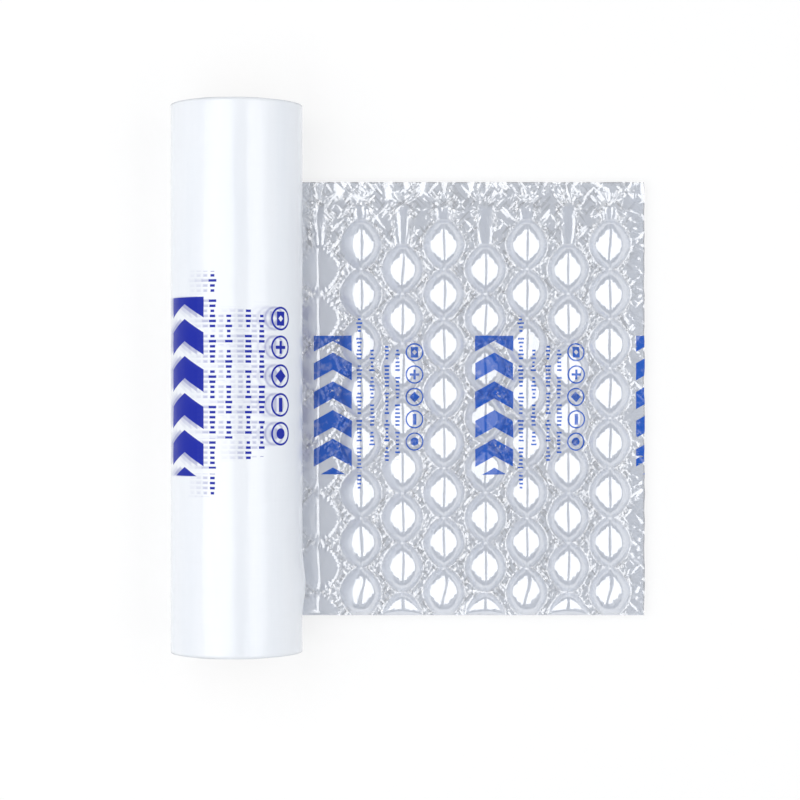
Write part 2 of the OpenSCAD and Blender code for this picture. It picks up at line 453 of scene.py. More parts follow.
@dataclass(frozen=True)
class CellLattice:
    """The pattern of air cells: rows along Y that nest, joined in each row by short air ways."""

    sizes: FilmSizes
    reach_x: float = 15.4
    reach_y: float = 18.2
    reach_slant: float = 15.2
    slant: float = math.radians(38)
    squareness: float = 8.0
    throat_w: float = 4.6
    inlet_w: float = 9.2
    slack: float = 0.24
    fullness: float = 1.4
    bluntness: float = 0.55
    ridge: float = 0.155
    ridge_round: float = 0.8
    limp: float = 0.05
    inlet_from: float = 3.0
    inlet_fade: float = 4.0
    fold_seal: float = 0.3
    seal_soft: float = 0.8
    over_step: float = 1.7
    territory: float = 0.66
    slack_steepness: float = 2.4
    ridge_slip: float = 0.35
    ridge_lean: float = 0.05
    first_lean: float = 0.42
    unevenness: float = 0.03

    def row_count(self) -> int:
        """How many rows fit between the roll and the torn end."""
        s = self.sizes
        return int((s.draw_len - s.end_gap - s.cell_d / 2 - s.first_row) // s.row_step) + 1

    def row_x(self, row: int) -> float:
        """Place of a row along X."""
        return self.sizes.first_row + row * self.sizes.row_step

    def row_y(self, row: int) -> float:
        """Place of the first whole cell of a row along Y. Even rows start half a step up."""
        s = self.sizes
        half_step = s.cell_step / 2 if row % 2 == 0 else 0.0
        return s.fold_y + s.fold_gap + s.cell_d / 2 + half_step

    def cell_count(self, row: int) -> int:
        """How many whole cells a row has."""
        s = self.sizes
        return int((s.seal_y - s.way_min - s.cell_d / 2 - self.row_y(row)) // s.cell_step) + 1

    def fill(self, row: int) -> float:
        """Share of the full height that a row is blown up to."""
        return self.slack if row == 0 else 1.0

    def nearest(self, row: int, x: Grid, y: Grid) -> tuple[Grid, Grid, Grid]:
        """Places measured from the nearest cell of a row.

        Args:
            row: The row.
            x, y: Places along X and Y.

        Returns:
            The places from that cell's middle along X and Y, and the cell's number. An even row has a
            cell -1, which the fold cuts in half.
        """
        first = -1 if row % 2 == 0 else 0
        step, up = self.sizes.cell_step, y - self.row_y(row)
        number = np.clip(np.round(up / step), first, self.cell_count(row) - 1)
        return x - self.row_x(row), up - number * step, number

    def room(self, row: int, x: Grid, y: Grid) -> Grid:
        """How far inside a row's cells or air ways a place lies, in millimetres. It is negative on a seal.

        A cell is an eight-sided shape with round corners, pointed towards the air ways: its reach is a power
        mean of the shares of its reach along X, along Y and along the slanted sides. An air way is a straight
        strip, wider above the last cell, where it is the inlet.

        Args:
            row: The row.
            x, y: Places along X and Y.

        Returns:
            Depths, of the shape that x and y make together.
        """
        s = self.sizes
        dx, dy, number = self.nearest(row, x, y)
        wide, high = np.abs(dx), np.abs(dy)
        slanted = wide * math.cos(self.slant) + high * math.sin(self.slant)
        shares = (wide / self.reach_x, high / self.reach_y, slanted / self.reach_slant)
        reach = sum(share**self.squareness for share in shares) ** (1 / self.squareness)
        cells = np.minimum((1 - reach) * self.reach_x, y - s.fold_y - self.fold_seal)
        along = np.minimum(y - self.row_y(row), s.seal_y - s.seal_w / 2 - y)
        is_inlet = (number == self.cell_count(row) - 1) & (dy > 0)
        way = np.minimum(np.where(is_inlet, self.inlet_w, self.throat_w) / 2 - wide, along)
        return np.maximum(cells, way)

    def all_room(self, x: Grid, y: Grid) -> Grid:
        """The greatest room that any row gives at a place."""
        return np.max([self.room(row, x, y) for row in range(self.row_count())], axis=0)

    def settled(self, x: Grid, y: Grid, room: Grid, rounds: int = 220) -> Grid:
        """Lets air lift the film until its tension holds it, as a share of a full cell's lift.

        The lift is the solution of Poisson's equation with the seals held down. Each round moves every place
        past the mean of its four neighbours plus the push of the air, first on the dark squares of a chess
        board and then on the light ones. An ellipse of the cell's reach would be lifted to the full share.

        Args:
            x: Column places, evenly spaced.
            y: Row places, evenly spaced.
            room: Depth inside the cells, from all_room.
            rounds: How many rounds are run.

        Returns:
            Shares from 0 to about 1, of the shape of room.
        """
        across, along = 1 / (x[1] - x[0]) ** 2, 1 / (y[1] - y[0]) ** 2
        is_open = np.clip(room / self.seal_soft + 0.5, 0, 1)
        lift = np.clip(room, 0, None) ** 2 / 4
        i, j = np.indices(room.shape)
        squares = [((i + j) % 2 == colour)[1:-1, 1:-1] for colour in (0, 1)]
        for _ in range(rounds):
            for square in squares:
                sides = across * (lift[:-2, 1:-1] + lift[2:, 1:-1])
                ends = along * (lift[1:-1, :-2] + lift[1:-1, 2:])
                goal = (sides + ends + 1) / (2 * across + 2 * along) * is_open[1:-1, 1:-1]
                inner = lift[1:-1, 1:-1]
                inner += np.where(square, self.over_step * (goal - inner), 0)
                np.maximum(inner, 0, out=inner)
        full = 0.5 / (self.reach_x**-2 + self.reach_y**-2)
        return lift * is_open / full

    def swelling(self, x: Grid, y: Grid, seed: int) -> Grid:
        """Half thickness of the blown-up film.

        The settled lift t gives the height H (1 - (1 - t)^fullness)^bluntness, which has a flat top and steep
        rims. A soft ridge runs along each cell, from which the height falls off as the square root of the
        distance squared plus a small round. The inlets hold little air.

        Args:
            x: Column places, evenly spaced, shaped (columns, 1).
            y: Row places, evenly spaced, shaped (1, rows).
            seed: Picks how the cells differ from each other.

        Returns:
            Heights in millimetres, shaped (columns, rows).
        """
        rng = np.random.default_rng(seed)
        room = self.all_room(x, y)
        share = np.clip(self.settled(x[:, 0], y[0], room), 0, 1)
        top = self.sizes.cell_h / 2
        height = top * (1 - (1 - share) ** self.fullness) ** self.bluntness
        fold = np.zeros_like(height)
        for row in range(self.row_count()):
            dx, dy, number = self.nearest(row, x, y)
            count = self.cell_count(row) + 1
            index = np.broadcast_to(number.astype(int) + 1, room.shape)
            lean = rng.normal(0, self.ridge_lean, count)
            lean[1] += self.first_lean * (row % 2)
            ridge = rng.normal(0, self.ridge_slip, count)[index] + lean[index] * dy
            blown = self.fill(row) * (1 + rng.normal(0, self.unevenness, count))
            blown = np.minimum(blown, 1.0)[index]
            steep = self.ridge * (self.slack_steepness if row == 0 else 1.0)
            near = np.abs(dx) < self.sizes.row_step * self.territory
            mine = (self.room(row, x, y) >= room - 1e-9) & near
            slope = np.sqrt((dx - ridge) ** 2 + self.ridge_round**2) - self.ridge_round
            fold = np.where(mine, steep * slope, fold)
            inlet = (number == count - 2) * ease((dy - self.reach_y + self.inlet_from) / self.inlet_fade)
            height = np.where(mine, height * blown * (1 - (1 - self.limp) * inlet), height)
        return height * (1 - fold / top)


@dataclass(frozen=True)
class Crease:
    """A kind of crease. Its limits are in millimetres.

    run holds its least start, greatest start, least end and greatest end. width and height hold its least
    and greatest half width and height.
    """

    run: tuple[float, float, float, float]
    width: tuple[float, float]
    height: tuple[float, float]


@dataclass(frozen=True)
class Gathers:
    """Where the film gathers into straight creases: round the mouths, between the cells and at the torn end.

    A crease is a row of seven numbers: its origin along X and Y, its heading, how far along it starts and
    ends, its half width, and its height.
    """

    lattice: CellLattice
    above_mouth: Crease = Crease((1, 7, 9, 19), (0.8, 1.4), (0.3, 0.6))
    below_mouth: Crease = Crease((2, 7, 9, 18), (0.8, 1.2), (0.3, 0.5))
    pleat: Crease = Crease((-15, -12, 12, 15), (0.9, 1.1), (0.3, 0.5))
    crushed: Crease = Crease((-3, -1.5, 1.5, 3), (0.7, 1.0), (0.2, 0.4))
    on_seam: Crease = Crease((-3.5, -2, 2, 3.5), (0.7, 0.9), (0.12, 0.28))
    at_end: Crease = Crease((-2, 1, 7, 13), (0.8, 1.4), (0.2, 0.45))
    on_skirt: Crease = Crease((-4, -2, 2, 4), (0.8, 1.3), (0.2, 0.45))
    by_roll: Crease = Crease((-30, -10, 10, 30), (1.4, 2.4), (0.12, 0.3))
    by_fold: Crease = Crease((-4, -2, 2, 4), (0.8, 1.3), (0.15, 0.35))
    fan: int = 5
    fan_up: tuple[float, float] = (0.12, 1.0)
    fan_down: float = 1.4
    fan_down_from: tuple[float, float] = (math.radians(24), math.radians(46))
    pleat_x: float = 3.0
    pleat_y: float = -15.0
    pleat_heading: tuple[float, float] = (1.52, 1.62)
    beside_throat: float = 10.4
    crushed_reach: float = 2.2
    seam_reach: float = 6.0
    seam_slip: float = 0.8
    seam_turn: float = 0.45
    end_step: float = 4.2
    end_slip: float = 1.2
    end_reach: tuple[float, float] = (9, 13)
    end_lean: float = 0.4
    roll_side: tuple[float, float] = (24, 46)
    roll_lean: float = 0.12
    roll_creases: int = 26
    skirt_heading: tuple[float, float] = (0.3, 2.8)
    skirt_creases: int = 60
    fold_creases: int = 30
    fade: float = 0.35

    def spread(self, rng: Dice, spots: Grid, heading: tuple, kind: Crease) -> Grid:
        """Puts one crease at each spot, with the rest drawn evenly between limits. Half of them point down.

        Args:
            rng: Draws the numbers.
            spots: Origins, shaped (count, 2).
            heading: Least and greatest heading.
            kind: The kind of crease.

        Returns:
            The creases, shaped (count, 7).
        """
        count = len(spots)
        sign = rng.choice((-1.0, 1.0), count)
        limits = (heading, kind.run[:2], kind.run[2:], kind.width, kind.height)
        *parts, height = [rng.uniform(*pair, count) for pair in limits]
        return np.column_stack([spots, *parts, sign * height])

    def mouths(self, rng: Dice) -> list[Grid]:
        """Fans of creases above and below the mouth of each row's inlet, and pleats below every other one."""
        made, up = [], math.pi / 2
        for row in range(self.lattice.row_count()):
            spot = np.array([[self.lattice.row_x(row), self.lattice.sizes.seal_y]])
            fan = spot.repeat(self.fan, 0)
            near = self.fan_down_from[row % 2]
            for side in (-1, 1):
                above = sorted(up + side * lean for lean in self.fan_up)
                made.append(self.spread(rng, fan, above, self.above_mouth))
                below = sorted(side * lean - up for lean in (near, self.fan_down))
                made.append(self.spread(rng, fan, below, self.below_mouth))
            if row % 2 == 0:
                offsets = [(step * self.pleat_x, self.pleat_y) for step in (-1, 0, 1)]
                made.append(self.spread(rng, spot + offsets, self.pleat_heading, self.pleat))
        return made

    def seams(self, rng: Dice) -> list[Grid]:
        """Crushed spots beside each throat, and short creases across the seams between neighbours."""
        s, made = self.lattice.sizes, []
        for row in range(self.lattice.row_count()):
            x, first = self.lattice.row_x(row), -1 if row % 2 == 0 else 0
            for cell in range(first, self.lattice.cell_count(row)):
                y = self.lattice.row_y(row) + cell * s.cell_step
                for side in (-1, 1):
                    spots = np.array([x + side * self.beside_throat, y + s.cell_step / 2])
                    spots = spots + rng.normal(0, self.crushed_reach, (3, 2))
                    made.append(self.spread(rng, spots, (0, math.pi), self.crushed))
                    turn = math.atan2(side * s.cell_step / 2, s.row_step)
                    middle = np.array([x + s.row_step / 2, y + side * s.cell_step / 4])
                    along = np.array([-math.sin(turn), math.cos(turn)])
                    places = np.linspace(-self.seam_reach, self.seam_reach, 3)
                    spots = middle + (places + rng.normal(0, self.seam_slip, 3))[:, None] * along
                    limits = (turn - self.seam_turn, turn + self.seam_turn)
                    made.append(self.spread(rng, spots, limits, self.on_seam))
        return made

    def edges(self, rng: Dice) -> list[Grid]:
        """Creases across the torn end, along the skirt, beside the roll and along the fold."""
        s = self.lattice.sizes

        def scatter(across: tuple, along: tuple, count: int) -> Grid:
            """Random spots in a box."""
            return np.column_stack([rng.uniform(*across, count), rng.uniform(*along, count)])

        torn = np.arange(s.fold_y + 4, s.seal_y, self.end_step)
        from_end = rng.uniform(*self.end_reach, torn.size)
        torn = np.column_stack([s.draw_len - from_end, torn + rng.normal(0, self.end_slip, torn.size)])
        blown = (self.roll_side[1], s.draw_len)
        skirt = scatter(blown, (s.seal_y + 1, s.open_y - 1), self.skirt_creases)
        beside = scatter(self.roll_side, (s.fold_y + 10, s.seal_y), self.roll_creases)
        fold = scatter(blown, (s.fold_y + 1, s.fold_y + 7), self.fold_creases)
        up = math.pi / 2
        return [
            self.spread(rng, torn, (-self.end_lean, self.end_lean), self.at_end),
            self.spread(rng, skirt, self.skirt_heading, self.on_skirt),
            self.spread(rng, beside, (up - self.roll_lean, up + self.roll_lean), self.by_roll),
            self.spread(rng, fold, (0, math.pi), self.by_fold),
        ]

    def raised(self, x: Grid, y: Grid, seed: int) -> Grid:
        """Adds up the creases at the points of a grid.

        Across a crease the height is a tent with flat sides, and towards both ends it dies away as half a
        cosine wave.

        Args:
            x: Places along X, the same all along a grid row, shaped (columns, rows).
            y: Places along Y.
            seed: Picks the creases.

        Returns:
            Heights in millimetres.
        """
        rng = np.random.default_rng(seed)
        total = np.zeros_like(y)
        creases = np.concatenate(self.mouths(rng) + self.seams(rng) + self.edges(rng))
        for x0, y0, heading, start, end, half_width, height in creases:
            far = max(abs(start), abs(end)) + half_width
            span = slice(*np.searchsorted(x[:, 0], (x0 - far, x0 + far)))
            dx, dy = x[span] - x0, y[span] - y0
            along = dx * math.cos(heading) + dy * math.sin(heading)
            across = np.abs(dy * math.cos(heading) - dx * math.sin(heading))
            taper = self.fade * (end - start)
            body = ease((along - start) / taper) * ease((end - along) / taper)
            total[span] += height * np.clip(1 - across / half_width, 0, 1) * body
        return total


@dataclass(frozen=True)
class TickLine:
    """A line of ticks: its place along the repeat, its longest tick, and where it starts and ends across."""

    place: float
    width: float
    foot: float
    head: float


@dataclass(frozen=True)
class PrintDesign:
    """Print on the flat film, in millimetres: chevrons, lines of ticks and rings, repeated along it."""

    start: float = 69.0
    repeat: float = 152.0
    foot: float = -70.0
    head: float = 58.0
    chevron_w: float = 36.0
    chevron_step: float = 26.5
    chevron_t: float = 16.0
    chevron_slope: float = 0.55
    lines: tuple[TickLine, ...] = (
        TickLine(43.0, 6.0, -84.0, 76.0),
        TickLine(55.0, 5.4, -43.0, 45.0),
        TickLine(69.0, 5.0, -58.0, 50.0),
        TickLine(79.0, 5.0, -56.0, 48.0),
    )
    tick: float = 3.6
    tick_t: float = 1.9
    tick_least: float = 0.22
    tick_more: float = 0.3
    word: float = 25.0
    ring_u: float = 95.0
    ring_step: float = 20.6
    ring_r: float = 7.8
    ring_line: float = 1.5
    ring_foot: float = -50.0
    group_name: str = "film print"

    def group(self) -> bpy.types.NodeTree:
        """Builds the print once, as a group that turns a place on the film into a share of ink.

        Returns:
            The node group. Its inputs are the place in metres and how soft an edge is in millimetres.
        """
        if self.group_name in bpy.data.node_groups:
            return bpy.data.node_groups[self.group_name]
        tree = bpy.data.node_groups.new(self.group_name, "ShaderNodeTree")
        tree.interface.new_socket("Place", in_out="INPUT", socket_type="NodeSocketVector")
        tree.interface.new_socket("Softness", in_out="INPUT", socket_type="NodeSocketFloat")
        tree.interface.new_socket("Ink", in_out="OUTPUT", socket_type="NodeSocketFloat")
        board = Board(tree)
        place, soft = (Wire(board, socket) for socket in board.node("NodeGroupInput").outputs[:2])
        along, across, _ = board.axes(place)
        run = board.math("WRAP", along / MM - self.start, self.repeat, 0.0)
        across = across / MM
        ticks = [self.ticks(board, run, across, line) for line in self.lines]
        depth = board.most(self.chevrons(board, run, across), *ticks, self.rings(board, run, across))
        board.node("NodeGroupOutput", {"Ink": board.ramp(depth, soft * -1.0, soft)})
        return tree

    def chevrons(self, board: Board, run: Wire, across: Wire) -> Wire:
        """A column of bold chevrons. The depth is that inside a strip bent at its middle.

        Args:
            board: Where the nodes go.
            run: Place along the repeat.
            across: Place across the film.

        Returns:
            Depth inside the nearest chevron.
        """
        bend = board.math("ABSOLUTE", run - self.chevron_w / 2) * self.chevron_slope
        step = board.math("WRAP", across + bend, self.chevron_step, 0.0)
        strip = board.within(step, 0.0, self.chevron_t) * math.cos(math.atan(self.chevron_slope))
        box = board.least(board.within(run, 0.0, self.chevron_w), board.within(across, self.foot, self.head))
        return board.least(strip, box)

    def ticks(self, board: Board, run: Wire, across: Wire, line: TickLine) -> Wire:
        """A line of short ticks of uneven length, with a gap here and there.

        Args:
            board: Where the nodes go.
            run: Place along the repeat.
            across: Place across the film.
            line: The line.

        Returns:
            Depth inside the nearest tick.
        """
        number = board.math("FLOOR", across / self.tick) + line.place
        dice = board.value("ShaderNodeTexWhiteNoise", {"W": number}, "Value", noise_dimensions="1D")
        half = dice * (line.width * self.tick_more) + line.width * self.tick_least
        tick = board.within(board.math("WRAP", across, self.tick, 0.0), 0.0, self.tick_t)
        gap = board.math("WRAP", across + line.place, self.word, 0.0) - self.tick
        reach = half - board.math("ABSOLUTE", run - line.place)
        return board.least(reach, tick, gap, board.within(across, line.foot, line.head))

    def rings(self, board: Board, run: Wire, across: Wire) -> Wire:
        """A row of rings, each with a small sign inside: a dot, a bar, a diamond, a cross or a chipped block.

        The signs are sized by shares of half the ring's radius.

        Args:
            board: Where the nodes go.
            run: Place along the repeat.
            across: Place across the film.

        Returns:
            Depth inside the nearest ring or sign.
        """
        raised = across - self.ring_foot
        number = board.math("FLOOR", raised / self.ring_step)
        x = run - self.ring_u
        y = board.math("WRAP", raised, self.ring_step, 0.0) - self.ring_step / 2
        wide, high = board.math("ABSOLUTE", x), board.math("ABSOLUTE", y)
        reach = board.math("SQRT", x * x + y * y)
        ring = self.ring_line / 2 - board.math("ABSOLUTE", reach - self.ring_r)
        size = self.ring_r * 0.5
        signs = (
            size - reach,
            board.least(size * 0.45 - wide, size * 1.3 - high),
            (size * 1.3 - (wide + high)) * math.sqrt(0.5),
            board.least(board.most(size * 0.3 - wide, size * 0.3 - high), size * 1.2 - reach),
            board.least(size * 1.3 - high, size * 0.9 - wide, (high + wide) * 0.7 - size * 0.4),
        )
        nearest = [(0.5 - board.math("ABSOLUTE", number - i)) * size for i in range(len(signs))]
        inner = [board.least(sign, near) for sign, near in zip(signs, nearest)]
        row = board.within(raised, 0.0, self.ring_step * len(signs))
        return board.least(board.most(ring, *inner), row)

    def ink(self, board: Board, softness: float, slip: float = 0.0) -> Wire:
        """Reads the print at the piece's own place on the flat film.

        Args:
            board: Where the nodes go.
            softness: Half width of the print's edges, in millimetres.
            slip: How far the print is moved along the film, in millimetres.

        Returns:
            Share of ink, from 0 to 1.
        """
        film = board.value("ShaderNodeUVMap", uv_map=FILM_UV)
        place = board.value("ShaderNodeVectorMath", {0: film, 1: (slip * MM, 0.0, 0.0)}, operation="ADD")
        inputs = {"Place": place, "Softness": softness}
        return board.value("ShaderNodeGroup", inputs, "Ink", node_tree=self.group())


def new_finish(name: str) -> tuple[bpy.types.Material, Board, Wire]:
    """Starts a material.

    Args:
        name: Name of the material.

    Returns:
        The material, its board, and the place on the object in metres.
    """
    material = bpy.data.materials.new(name)
    board = Board.blank(material)
    return material, board, board.value("ShaderNodeTexCoord", output="Object")


@dataclass(frozen=True)
class ClearFilm:
    """Finish of one clear ply: very glossy, nearly colourless, and crushed into facets where it is sealed."""

    print_design: PrintDesign
    tint: Colour = (0.665, 0.71, 0.81, 1.0)
    sealed_tint: Colour = (0.65, 0.685, 0.76, 1.0)
    # Dark grey painted on the film: painted dark reflections in crushed facets, and painted shade along the
    # torn end and the open edge.
    painted_dark_tint: Colour = (0.44, 0.46, 0.50, 1.0)
    ink_tint: Colour = (0.010, 0.095, 0.50, 1.0)
    cover: float = 0.62
    ink_cover: float = 0.95
    gloss_ior: float = 3.8
    gloss: float = 0.5
    ink_gloss: float = 0.07
    roughness: float = 0.07
    sealed_roughness: float = 0.1
    strokes: tuple[Facet, ...] = (Facet(1.7, 8.5, 0.72, 0.17), Facet(1.6, 8.0, -0.72, 0.17))
    # The darkness numbers of the strokes and the dots set how strongly their marked facets take the painted
    # dark reflection.
    stroke_painted_dark: float = 1.0
    dots: Facet = Facet(1.5, 2.4, 0.3, 0.26)
    dot_painted_dark: float = 0.4
    dots_from: float = 0.62
    dots_to: float = 0.8
    lower_share: float = 0.3
    facet_slope: float = 1.5
    grain: Grain = Grain(90.0)
    grain_h: float = 0.03
    print_softness: float = 0.3
    wear: Grain = Grain(160.0, 3.0)
    worn_cover: float = 0.8

    def build(self, ply: Ply) -> bpy.types.Material:
        """Makes the material of a ply. Only the upper ply carries the print.

        Args:
            ply: Which ply it is for.

        Returns:
            The material.
        """
        material, board, place = new_finish(f"clear_film_{ply.name.lower()}")
        crimp = board.mark(CRIMP)
        crushed = board.noise(place, self.grain) * self.grain_h
        tint = board.blend(crimp, self.tint, self.sealed_tint)
        close = board.ramp(crimp, self.dots_from, self.dots_to)
        if ply is Ply.UPPER:
            patterns = [(stroke, crimp, self.stroke_painted_dark) for stroke in self.strokes]
            patterns.append((self.dots, close, self.dot_painted_dark))
        else:
            patterns = [(self.dots, close * self.lower_share, self.dot_painted_dark)]
        # Each pattern bumps its facets and paints the marked flat ones darker, as a painted dark reflection.
        for facet, reach, painted_dark_share in patterns:
            height, painted_dark_facets = board.facets(place, facet)
            crushed = crushed + height * reach * self.facet_slope
            tint = board.blend(painted_dark_facets * reach * painted_dark_share, tint, self.painted_dark_tint)
        # Painted shade: the strips along the torn end and the open edge take the dark grey.
        tint = board.blend(board.mark(PAINTED_EDGE_SHADE), tint, self.painted_dark_tint)
        looks = {
            "Alpha": self.cover,
            "IOR": self.gloss_ior,
            "Roughness": board.ramp(crimp, 0.0, 1.0, self.roughness, self.sealed_roughness),
            "Normal": board.bump(crushed),
        }
        if ply is Ply.UPPER:
            worn = board.ramp(board.noise(place, self.wear), 0.25, 0.5, self.worn_cover, 1.0)
            ink = self.print_design.ink(board, self.print_softness) * worn
            tint = board.blend(ink, tint, self.ink_tint)
            looks["Alpha"] = ink * (self.ink_cover - self.cover) + self.cover
            looks["Specular IOR Level"] = board.ramp(ink, 0.1, 0.8, self.gloss, self.ink_gloss)
        board.shade({"Base Color": tint, **looks})
        return material


@dataclass(frozen=True)
class WoundFilm:
    """Finish of the wound turns: milky, as many clear turns lie on each other, with several turns' print."""

    print_design: PrintDesign
    tint: Colour = (0.775, 0.805, 0.855, 1.0)
    light_tint: Colour = (0.83, 0.85, 0.885, 1.0)
    ink_tint: Colour = (0.004, 0.016, 0.34, 1.0)
    turn_slip: float = 5.6
    layers: tuple[tuple[float, float], ...] = ((0.2, 0.985), (0.9, 0.42), (1.6, 0.22), (2.4, 0.12))
    roughness: float = 0.2
    hazy_roughness: float = 0.26
    gloss_ior: float = 1.6
    gloss: float = 0.5
    ink_gloss: float = 0.1
    haze: Grain = Grain(40.0, stretch=(1.0, 0.12, 1.0))
    around: Grain = Grain(240.0, 2.0, 0.6, (0.12, 1.0, 0.12))
    around_h: float = 0.10
    along: Grain = Grain(150.0, stretch=(1.0, 0.05, 1.0))
    along_h: float = 0.22

    def build(self) -> bpy.types.Material:
        """Makes the material. The print of each deeper turn is moved along, softer and fainter."""
        material, board, place = new_finish("wound_film")
        haze = board.ramp(board.noise(place, self.haze), 0.2, 0.8)
        tint = board.blend(haze, self.tint, self.light_tint)
        for depth, (softness, strength) in reversed(list(enumerate(self.layers))):
            ink = self.print_design.ink(board, softness, self.turn_slip * depth) * strength
            tint = board.blend(ink, tint, self.ink_tint)
        around, along = board.noise(place, self.around), board.noise(place, self.along)
        looks = {
            "Base Color": tint,
            "Roughness": haze * (self.hazy_roughness - self.roughness) + self.roughness,
            "IOR": self.gloss_ior,
            "Specular IOR Level": board.ramp(ink, 0.3, 0.9, self.gloss, self.ink_gloss),
            "Normal": board.bump(around * self.around_h + along * self.along_h),
        }
        board.shade(looks)
        return material


@dataclass(frozen=True)
class CorePaper:
    """Finish of the core: brown paperboard wound in a spiral, with a seam line along the helix."""

    tint: Colour = (0.46, 0.31, 0.18, 1.0)
    pale_tint: Colour = (0.58, 0.42, 0.26, 1.0)
    seam_tint: Colour = (0.30, 0.19, 0.10, 1.0)
    seam_pitch: float = 95.0
    seam_half: float = 0.35
    seam_depth: float = 0.8
    fibre: Grain = Grain(900.0, 4.0, 0.65, (1.0, 0.25, 1.0))
    fibre_h: float = 0.15
    cloud: Grain = Grain(45.0, 3.0)
    cloud_share: float = 0.4
    roughness: float = 0.82

    def build(self) -> bpy.types.Material:
        """Makes the material. The seam is where the place along the core plus the angle round it repeats."""
        material, board, place = new_finish("core_paper")
        x, y, z = board.axes(place)
        angle = board.math("ARCTAN2", z, x) / (2 * math.pi)
        helix = board.math("WRAP", y / (self.seam_pitch * MM) + angle, 1.0, 0.0)
        edge = board.math("ABSOLUTE", helix - 0.5) * self.seam_pitch
        seam = board.ramp(edge, 0.0, self.seam_half * 2, 1.0, 0.0)
        fibre, cloud = board.noise(place, self.fibre), board.noise(place, self.cloud)
        pale = board.ramp(fibre * (1 - self.cloud_share) + cloud * self.cloud_share, 0.35, 0.65)
        tint = board.blend(pale, self.tint, self.pale_tint)
        normal = board.bump(fibre - seam * self.seam_depth, self.fibre_h)
        tint = board.blend(seam, tint, self.seam_tint)
        board.shade({"Base Color": tint, "Roughness": self.roughness, "Normal": normal})
        return material


def stand_for_film(piece: bpy.types.Object, material: bpy.types.Material) -> bpy.types.Object:
    """Gives a piece its finish and puts it in the place of the solid film."""
    piece.data.materials.append(material)
    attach(piece, "root")
    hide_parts("bubble_film")
    return piece


